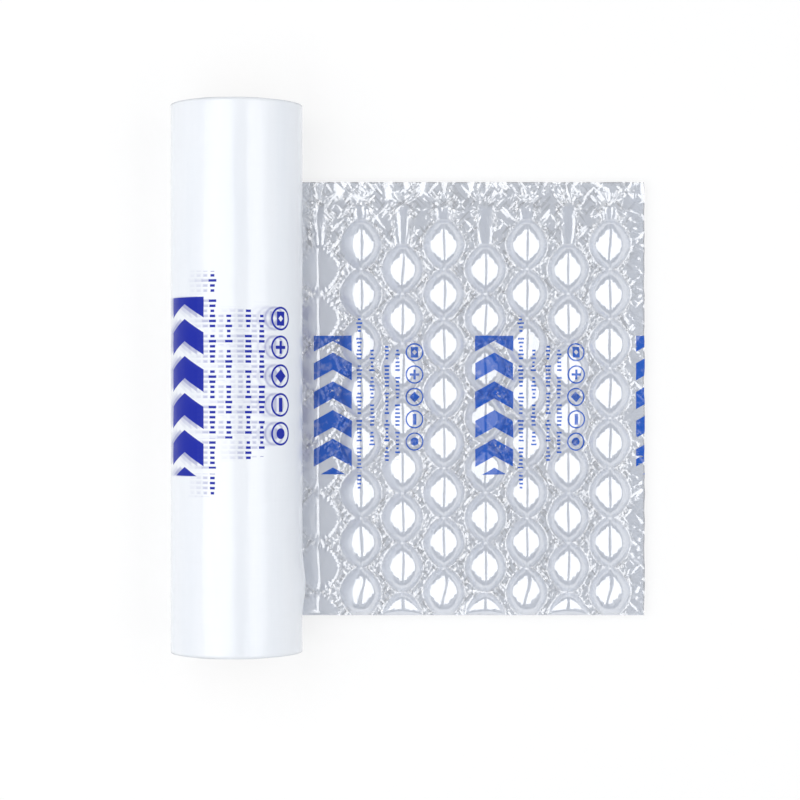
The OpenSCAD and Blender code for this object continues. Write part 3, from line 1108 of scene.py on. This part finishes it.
@dataclass
class BlownFilm:
    """The drawn-off film: two plies, blown up into air cells between the roll and the torn end."""

    sizes: FilmSizes
    lattice: CellLattice
    finish: ClearFilm
    near_columns: int = 12
    cell_columns: int = 290
    rows: int = 331
    fine_from: float = 0.84
    fine_rows: int = 83
    cells_from: float = 41.0
    rim_waves: int = 30
    rim_wrinkle: float = 0.15
    rim_reach: float = 3.4
    rim_sway: float = 1.3
    rim_sways: int = 5
    seal_soft: float = 0.6
    crease_seeds: tuple[int, int] = (11, 29)
    blown_creases: float = 0.3
    sealed_wrinkles: float = 0.25
    wrinkles_from: float = 3.0
    wrinkles_fade: float = 20.0
    uneven_h: float = 0.03
    crush_at: float = 2.2
    crush_w: float = 2.6
    crush_shares: tuple[float, float, float] = (0.5, 0.4, 0.1)
    crush_fade: float = 12.0
    mouth_h: float = 16.0
    mouth_fade: float = 10.0
    open_fade: float = 4.0
    end_w: float = 14.0
    end_fade: float = 5.0
    end_crush: float = 0.6
    ruffle_h: float = 0.7
    ruffle_waves: int = 2
    ruffle_slip: float = 0.9
    ruffle_sway: float = 1.1
    ruffle_crumple: Crumple = Crumple(41, 20, 60, 12, 1.2)
    skirt_gap: float = 0.5
    skirt_drop: float = 1.2
    end_droop: float = 0.05
    droop_reach: float = 12.0
    ragged: Crumple = Crumple(61, 8, 40, 10, 0.25)
    ragged_reach: float = 9.0
    torn_step: float = 0.6
    # Widths of the strips along the torn end and the open edge that get a painted shade.
    painted_shade_end_w: float = 1.0
    painted_shade_open_w: float = 0.9
    table_gap: float = 0.02

    def columns(self) -> Grid:
        """Places along X: wide steps below the roll, and fine even steps where the cells are."""
        near = np.linspace(0, self.cells_from, self.near_columns, endpoint=False)
        return np.concatenate([near, np.linspace(self.cells_from, self.sizes.draw_len, self.cell_columns)])

    def shares(self) -> Grid:
        """Shares across the film, 0 at the fold and 1 at the open edge, closer together near that edge."""
        low = np.linspace(0, self.fine_from, self.rows - self.fine_rows, endpoint=False)
        return np.concatenate([low, np.linspace(self.fine_from, 1, self.fine_rows)])

    def footprint(self, x: Grid, t: Grid) -> Grid:
        """Place along Y of a share t across the film.

        The film leaves the roll at its full width and is drawn in smoothly to that of the blown-up film.

        Args:
            x: Places along X.
            t: Shares across the film.

        Returns:
            Places along Y.
        """
        s = self.sizes
        drawn = ease(x / s.rise_to)
        low = -s.film_w / 2 + (s.fold_y + s.film_w / 2) * drawn
        high = s.film_w / 2 + (s.open_y - s.film_w / 2) * drawn
        return low + (high - low) * t

    def swelling(self) -> Grid:
        """Half thickness of the film at each point of the grid, worked out on even rows and read off."""
        s = self.sizes
        x = self.columns()[self.near_columns :, None]
        even = s.fold_y + s.web_w * np.linspace(0, 1, self.rows)[None, :]
        height = self.lattice.swelling(x, even, 5)
        place = self.shares() * (self.rows - 1)
        below = np.minimum(place.astype(int), self.rows - 2)
        mixed = height[:, below] + (height[:, below + 1] - height[:, below]) * (place - below)
        return np.concatenate([np.zeros((self.near_columns, self.rows)), mixed])

    def rims(self, x: Grid, y: Grid, room: Grid, seed: int) -> Grid:
        """Wrinkles that run from the seals into the cells: a wave of the angle round each cell's middle.

        Args:
            x, y: Places along X and Y.
            room: Depth inside the cells.
            seed: Picks the phases.

        Returns:
            Heights, about -1 to 1.
        """
        rng = np.random.default_rng(seed)
        total = np.zeros_like(y)
        for row in range(self.lattice.row_count()):
            dx, dy, number = self.lattice.nearest(row, x, y)
            angle = np.arctan2(dy, dx)
            phase = rng.uniform(0, 2 * np.pi, self.lattice.cell_count(row) + 1)[number.astype(int) + 1]
            sway = self.rim_sway * np.sin(self.rim_sways * angle + phase)
            wave = np.sin(self.rim_waves * angle + phase + sway)
            total += np.where(np.abs(dx) < self.sizes.row_step / 2, wave, 0)
        return total * np.exp(-((np.clip(room, -9, None) / self.rim_reach) ** 2))

    def wrinkles(self, x: Grid, y: Grid, room: Grid, ply: Ply) -> tuple[Grid, Grid]:
        """Creases, rim wrinkles and a slight unevenness of the whole film.

        The film is crushed where it is sealed, most of all close to the cells, and less at the torn end.

        Args:
            x, y: Places along X and Y.
            room: Depth inside the cells.
            ply: Which ply it is.

        Returns:
            Heights in millimetres, and how crushed the film is, from 0 to 1.
        """
        s = self.sizes
        seed = self.crease_seeds[ply is Ply.LOWER]
        sealed = 1 / (1 + np.exp(np.clip(room / self.seal_soft, -20, 20)))
        height = Gathers(self.lattice).raised(x, y, seed)
        height *= self.blown_creases + (1 - self.blown_creases) * sealed
        height += self.rim_wrinkle * self.rims(x, y, room, seed + 3)
        height += Crumple(seed + 4, 9, 30, height=self.uneven_h).at(x, y)
        island = np.exp(-(((room + self.crush_at) / self.crush_w) ** 2))
        band = ease((s.open_y - y) / self.open_fade) * ease((y - s.seal_y + self.mouth_h) / self.mouth_fade)
        torn = ease((x - s.draw_len + self.end_w) / self.end_fade)
        least, by_cells, by_mouths = self.crush_shares
        crimp = np.clip(sealed * (least + by_cells * island + by_mouths * band), 0, 1)
        return height, crimp * (1 - self.end_crush * torn) * ease((x - s.rise_to) / self.crush_fade)

    def skirt(self, x: Grid, y: Grid, ply: Ply) -> Grid:
        """The loose edge above the seal, which is longer than the film beside it and so stands in waves.

        Args:
            x, y: Places along X and Y.
            ply: Which ply it is.

        Returns:
            Heights in millimetres.
        """
        s = self.sizes
        out = np.clip((y - s.seal_y) / s.seal_inset, 0, 1) * ease(x / s.rise_to)
        slip = self.ruffle_slip if ply is Ply.UPPER else 0.0
        gather = np.pi * x / s.row_step
        sway = self.ruffle_sway * np.sin(gather) + self.ruffle_crumple.at(x, y)
        wave = np.sin(2 * self.ruffle_waves * gather + slip + sway)
        return out * (self.ruffle_h / 2 * wave + ply.value * self.skirt_gap - self.skirt_drop * out)

    def heat_seal(self, y: Grid) -> Grid:
        """Presses the plies together along the seal: 1 away from it and 0 on it."""
        return 1 - np.exp(-(((y - self.sizes.seal_y) / (0.75 * self.sizes.seal_w)) ** 4))

    def points(self, ply: Ply, swell: Grid) -> tuple[Grid, dict[str, Grid]]:
        """Works out where a ply lies.

        Its height is that of the film's middle plane plus or minus the swelling, the wrinkles and the skirt.

        Args:
            ply: Which ply.
            swell: Half thickness of the film at each point of the grid.

        Returns:
            Its places, shaped (columns, rows, 3), and its marks by name.
        """
        s = self.sizes
        x = np.broadcast_to(self.columns()[:, None], swell.shape)
        y = self.footprint(x, self.shares()[None, :])
        wrinkle, crimp = self.wrinkles(x, y, self.lattice.all_room(x, y), ply)
        wrinkle *= self.sealed_wrinkles + (1 - self.sealed_wrinkles) * self.heat_seal(y)
        wrinkle *= ease((x - self.wrinkles_from) / self.wrinkles_fade)
        past = x - s.draw_len
        droop = self.end_droop * np.clip(past / self.droop_reach + 1, 0, 1) ** 2
        z = s.table_z + s.rise(x) - droop + ply.value * (swell + s.ply_t) + wrinkle + self.skirt(x, y, ply)
        z = np.maximum(z, s.table_z + self.table_gap + s.ply_t * (1 + ply.value))
        ragged = self.ragged.at(y, 0 * y) * np.clip(past / self.ragged_reach + 1, 0, 1)
        x = x + np.minimum(ragged - self.torn_step * (past > -1e-6), 0.0)
        # Strips along the torn end and the open edge, marked so that the finish paints a shade on them.
        edge = (past > -self.painted_shade_end_w) | (y > s.open_y - self.painted_shade_open_w)
        return np.stack([x, y, z], axis=-1), {CRIMP: crimp, PAINTED_EDGE_SHADE: edge.astype(float)}

    def build_ply(self, ply: Ply, swell: Grid) -> bpy.types.Object:
        """Args:
            ply: Which ply.
            swell: Half thickness of the film at each point of the grid.

        Returns:
            The dressed piece.
        """
        s = self.sizes
        points, marks = self.points(ply, swell)
        along = np.broadcast_to(self.columns()[:, None] / s.drawn_in, swell.shape)
        across = np.broadcast_to((self.shares()[None, :] - 0.5) * s.film_w, swell.shape)
        film = np.stack([along, across], axis=-1)
        name = f"film_{ply.name.lower()}_ply"
        piece = surface_piece(name, points, film, turned=ply is Ply.LOWER, marks=marks)
        stand_for_film(piece, self.finish.build(ply))
        return piece

    def build(self) -> list[bpy.types.Object]:
        """Makes both plies."""
        swell = self.swelling()
        return [self.build_ply(ply, swell) for ply in Ply]


@dataclass
class WoundTurns:
    """The wound roll: an outer turn with soft wrinkles, and ends on which the turns show as a spiral."""

    sizes: FilmSizes
    finish: WoundFilm
    around: int = 280
    along: int = 150
    turns_across: int = 72
    core_gap: float = 0.05
    wrinkle: float = 0.16
    long_folds: Crumple = Crumple(3, 9, 60, 30, 0.5)
    short_folds: Crumple = Crumple(4, 5, 14, 30, 0.35)
    folds_along: float = 0.25
    rim_round: float = 0.5
    unevenness: float = 0.45
    uneven_turns: float = 7.3
    flare: float = 2.4
    flare_y: float = -150.0
    flare_reach: float = 26.0
    flare_turn: float = 90.0
    flare_spread: float = 0.6
    film_lead: float = 177.4

    def profile(self) -> tuple[Grid, Grid]:
        """The roll's section: out along the fold end, along the outer turn, in along the open end, and back.

        Returns:
            Radii and places along Y in millimetres. The last place joins the first through the core's bore.
        """
        s = self.sizes
        end_r = np.linspace(s.core_r + self.core_gap, s.roll_r, self.turns_across)
        half = s.film_w / 2
        out_y = np.linspace(-half, half, self.along)[1:-1]
        radii = np.concatenate([end_r, np.full(out_y.size, s.roll_r), end_r[::-1]])
        places = np.concatenate([np.full(end_r.size, -half), out_y, np.full(end_r.size, half)])
        return radii, places

    def build(self) -> bpy.types.Object:
        """Makes the roll as one closed surface: the profile turned about Y.

        The angle is counted from the foot of the roll towards -X. On the ends each place sinks by a rounded
        saw of (radius / turn step - angle / full turn), which draws one spiral. The outer turn is raised by a
        crumpled field and by a loose fold on the drawn-off side, and nothing goes below the table.

        Returns:
            The dressed piece.
        """
        s = self.sizes
        radii, places = self.profile()
        angle = np.linspace(0, 2 * np.pi, self.around, endpoint=False)[:, None]
        r, y = np.broadcast_arrays(radii[None, :], places[None, :])
        on_end = np.abs(y) > s.film_w / 2 - 1e-6
        outer = ease(r - s.roll_r + 1.0)
        phase = (r - s.core_r) / s.turn_step - angle / (2 * np.pi)
        groove = s.turn_relief * np.abs(np.sin(np.pi * phase)) ** 0.7
        groove += self.unevenness * np.sin(2 * np.pi * phase / self.uneven_turns + 2 * np.sin(angle)) ** 2
        y = y - np.sign(y) * np.where(on_end, groove * (1 - outer) + self.rim_round * outer, 0.0)
        arc = angle * s.roll_r
        soft = self.long_folds.at(arc, y) + self.short_folds.at(arc * self.folds_along, y)
        loose = ease(1 - np.abs(y - self.flare_y) / self.flare_reach)
        side = ease(1 - np.abs(angle - math.radians(360 - self.flare_turn)) / self.flare_spread)
        r = r + outer * (self.wrinkle * (soft - 1.0) + self.flare * loose * side)
        x, z = -r * np.sin(angle), np.maximum(-r * np.cos(angle), s.table_z)
        full = np.linspace(0, 2 * np.pi, self.around + 1)[:, None]
        film_y = np.append(places, places[0])[None, :]
        film = np.stack(np.broadcast_arrays(full * s.roll_r - self.film_lead, film_y), axis=-1)
        points = np.stack([x, y, z], axis=-1)
        piece = surface_piece("wound_turns", points, film, wrapped=True, turned=True)
        return stand_for_film(piece, self.finish.build())


@dataclass(frozen=True)
class SoftBox:
    """A level soft box overhead: its edges along X, its length along Y, and how bright it is."""

    near: float
    far: float
    length: float
    light: float


@dataclass
class Studio:
    """A pale table, two banks of soft boxes with a gap between, and a camera that looks straight down."""

    sizes: FilmSizes
    eye: tuple[float, float] = (119.5, -15.6)
    eye_height: float = 1610.0
    lens: float = 96.03
    box_height: float = 1400.0
    boxes: tuple[SoftBox, ...] = (
        SoftBox(-620, -20, 2300, 2.3),
        SoftBox(-1250, -620, 1700, 2.3),
        SoftBox(-2100, -1250, 1200, 2.3),
        SoftBox(580, 1050, 2300, 2.2),
        SoftBox(1050, 1550, 1700, 2.2),
        SoftBox(1550, 2150, 1200, 2.2),
    )
    sky: float = 0.9
    sky_tint: Colour = (0.96, 0.98, 1.0, 1.0)
    seen_sky: Colour = (1.0, 1.0, 1.0, 1.0)
    ceiling_height: float = 1900.0
    ceiling_size: float = 7000.0
    ceiling_tint: Colour = (0.16, 0.165, 0.17, 1.0)
    table_tint: Colour = (0.95, 0.95, 0.95, 1.0)
    table_size: float = 12000.0
    shadow_share: float = 0.3

    def build(self) -> None:
        """Makes the camera, the lamps, the sky, the table and the ceiling."""
        self.camera()
        for number, box in enumerate(self.boxes):
            self.hang(f"soft_box_{number}", box)
        self.heaven()
        self.table()
        self.ceiling()
        bpy.context.scene.view_settings.view_transform = "Standard"

    def over_table(self, x: float, height: float) -> tuple[float, float, float]:
        """A place in metres, level with the eye along Y."""
        return x * MM, self.eye[1] * MM, (self.sizes.table_z + height) * MM

    def camera(self) -> None:
        """Puts the camera over the table, with the picture's top towards +Y."""
        data = bpy.data.cameras.new("camera")
        data.lens = self.lens
        data.clip_start = 0.01
        camera = add_object("camera", data)
        camera.location = self.over_table(self.eye[0], self.eye_height)
        bpy.context.scene.camera = camera

    def hang(self, name: str, box: SoftBox) -> None:
        """Hangs one soft box over the table."""
        data = bpy.data.lights.new(name, "AREA")
        data.shape = "RECTANGLE"
        data.size = (box.far - box.near) * MM
        data.size_y = box.length * MM
        data.energy = box.light * math.pi * data.size * data.size_y
        add_object(name, data).location = self.over_table((box.near + box.far) / 2, self.box_height)

    def slab(self, name: str, size: float, height: float) -> tuple[bpy.types.Object, Board]:
        """Makes a level square with an empty material, which isn't part of the object.

        Args:
            name: Its name.
            size: Length of its side.
            height: Its height over the table.

        Returns:
            The square, and the board of its material.
        """
        half, level = size * MM / 2, (self.sizes.table_z + height) * MM
        mesh = bpy.data.meshes.new(name)
        corners = [(-half, -half, level), (half, -half, level), (half, half, level), (-half, half, level)]
        mesh.from_pydata(corners, [], [(0, 1, 2, 3)])
        square = add_object(name, mesh)
        material = bpy.data.materials.new(name)
        board = Board.blank(material)
        mesh.materials.append(material)
        square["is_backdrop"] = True
        return square, board

    def seen_plainly(self, board: Board) -> Wire:
        """1 for what is seen, straight or in gloss or through the film, and 0 for light on the object."""
        rays = board.node("ShaderNodeLightPath").outputs
        names = ("Is Camera Ray", "Is Glossy Ray", "Is Transmission Ray")
        return board.most(*(Wire(board, rays[name]) for name in names))

    def heaven(self) -> None:
        """Lights the object evenly from all sides, and shows as white."""
        world = bpy.data.worlds.new("sky")
        board = Board.blank(world)
        light = board.value("ShaderNodeBackground", {"Color": self.sky_tint, "Strength": self.sky})
        white = board.value("ShaderNodeBackground", {"Color": self.seen_sky})
        mix = board.value("ShaderNodeMixShader", {0: self.seen_plainly(board), 1: light, 2: white})
        board.node("ShaderNodeOutputWorld", {"Surface": mix})
        bpy.context.scene.world = world

    def table(self) -> None:
        """Lays the table. It shows as white with a share of its real shadow."""
        _, board = self.slab("table", self.table_size, 0.0)
        lit = board.value("ShaderNodeBsdfDiffuse", {"Color": self.table_tint})
        white = board.value("ShaderNodeEmission")
        share = self.seen_plainly(board) * (1 - self.shadow_share)
        mix = board.value("ShaderNodeMixShader", {0: share, 1: lit, 2: white})
        board.node("ShaderNodeOutputMaterial", {"Surface": mix})

    def ceiling(self) -> None:
        """Hangs a grey ceiling over the soft boxes, so that the film has something dark to reflect."""
        square, board = self.slab("ceiling", self.ceiling_size, self.ceiling_height)
        lit = board.value("ShaderNodeBsdfDiffuse", {"Color": self.ceiling_tint})
        board.node("ShaderNodeOutputMaterial", {"Surface": lit})
        square.visible_camera = False


@dataclass
class FilmRoll:
    """The whole object: the core, the wound turns and the drawn-off film."""

    frame: dict
    sizes: FilmSizes
    print_design: PrintDesign = field(default_factory=PrintDesign)

    def dress_core(self) -> bpy.types.Object:
        """Gives the core its paper finish."""
        core = self.frame["nodes"]["core_tube"]
        core.data.materials.clear()
        core.data.materials.append(CorePaper().build())
        return core

    def build(self) -> None:
        """Makes or dresses each piece in order and reports it."""
        turns = WoundTurns(self.sizes, WoundFilm(self.print_design))
        film = BlownFilm(self.sizes, CellLattice(self.sizes), ClearFilm(self.print_design))
        for piece in (self.dress_core(), turns.build(), *film.build()):
            LOG.info("%s: %d faces", piece.name, len(piece.data.polygons))


def main() -> None:
    """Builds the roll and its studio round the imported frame."""
    logging.basicConfig(level=logging.INFO, format="%(message)s")
    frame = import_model()
    solid_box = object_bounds()
    sizes = FilmSizes.from_frame()
    FilmRoll(frame, sizes).build()
    Studio(sizes).build()
    boxes = {"solids": solid_box, "looks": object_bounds()}
    boxes = {name: [list(corner) for corner in box] for name, box in boxes.items()}


if __name__ == "__main__":
    main()
